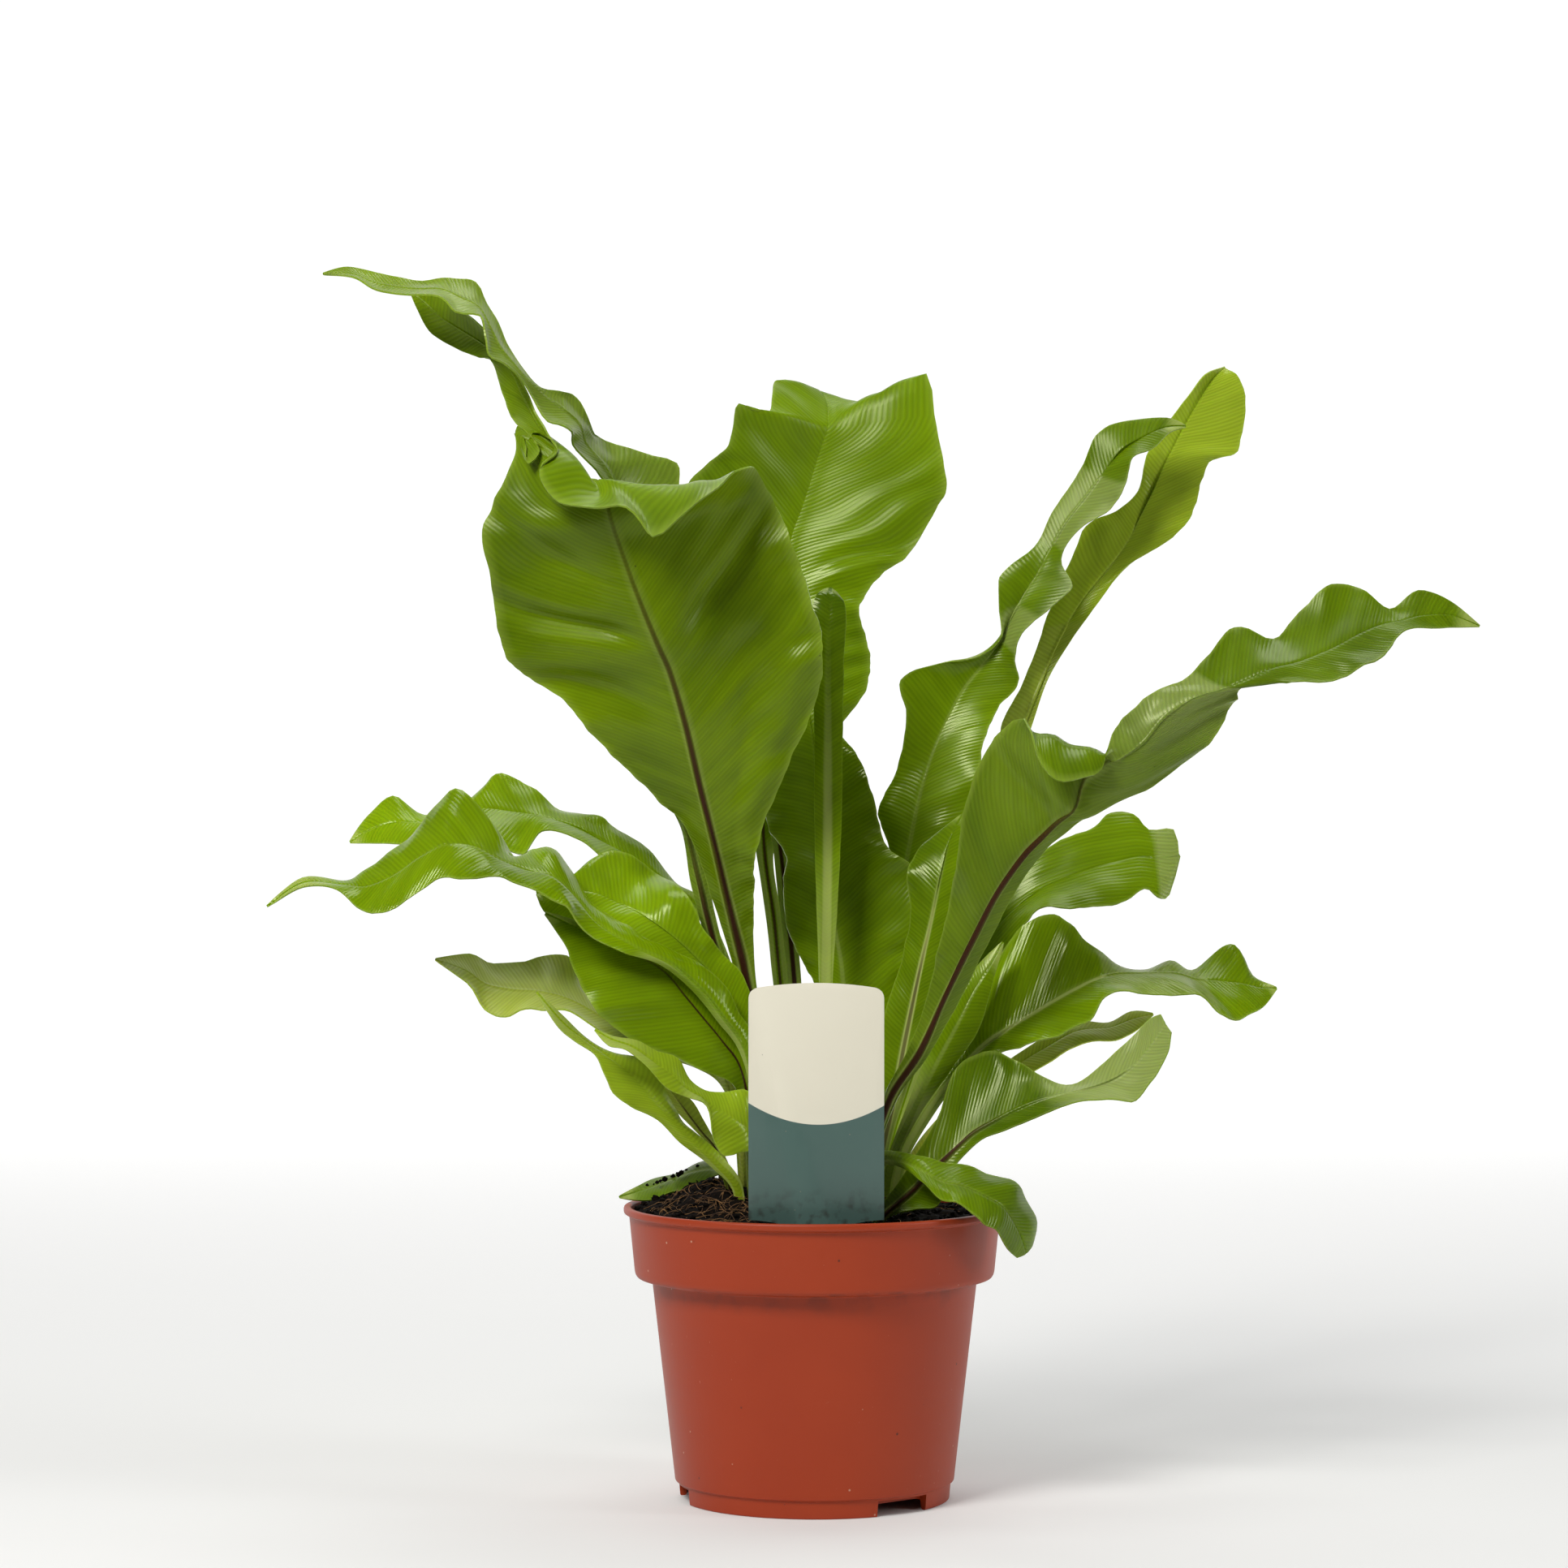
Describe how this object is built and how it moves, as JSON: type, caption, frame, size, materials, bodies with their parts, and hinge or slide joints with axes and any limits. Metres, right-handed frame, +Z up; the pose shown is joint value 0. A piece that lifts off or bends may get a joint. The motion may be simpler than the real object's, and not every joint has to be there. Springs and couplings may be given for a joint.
{
  "type": "potted bird's nest fern",
  "caption": "Bird's nest fern with long waved strap fronds rising from a heart in a round terracotta-coloured plastic nursery pot of peat, with a blank label card.",
  "frame": {"origin": "centre of the pad under the middle of the pot, on the surface that the pot stands on", "axes": "+Z up along the pot's axis, -Y to the front with the label, X across, along the widest spread of the fronds"},
  "size_m": [0.5239, 0.2808, 0.541],
  "materials": {
    "leaf": "satin, waxy",
    "pot_plastic": "moulded, slightly scuffed",
    "peat": "loose, matt",
    "rootstock": "fibrous, matt",
    "label_plastic": "printed card, semi-gloss"
  },
  "bodies": {
    "root": {"frond_front_tall": "leaf", "frond_left_crooked": "leaf", "frond_centre_stem": "leaf", "frond_back_tall": "leaf", "frond_young_rolled": "leaf", "frond_centre_broad": "leaf", "frond_right_back": "leaf", "frond_right_top": "leaf", "frond_right_long": "leaf", "frond_right_middle": "leaf", "frond_right_glossy": "leaf", "frond_right_narrow": "leaf", "frond_right_low": "leaf", "frond_over_rim": "leaf", "frond_left_long": "leaf", "frond_left_back": "leaf", "frond_left_bright": "leaf", "frond_left_wide": "leaf", "frond_left_pale": "leaf", "frond_left_small": "leaf", "frond_left_twisted": "leaf", "frond_left_brown_rib": "leaf", "frond_left_resting": "leaf", "frond_young_right": "leaf", "frond_right_small": "leaf", "frond_rear_middle": "leaf", "frond_rear_left": "leaf", "frond_rear_right": "leaf", "pot": "pot_plastic", "soil": "peat", "crown": "rootstock", "label": "label_plastic"}
  },
  "joints": []
}
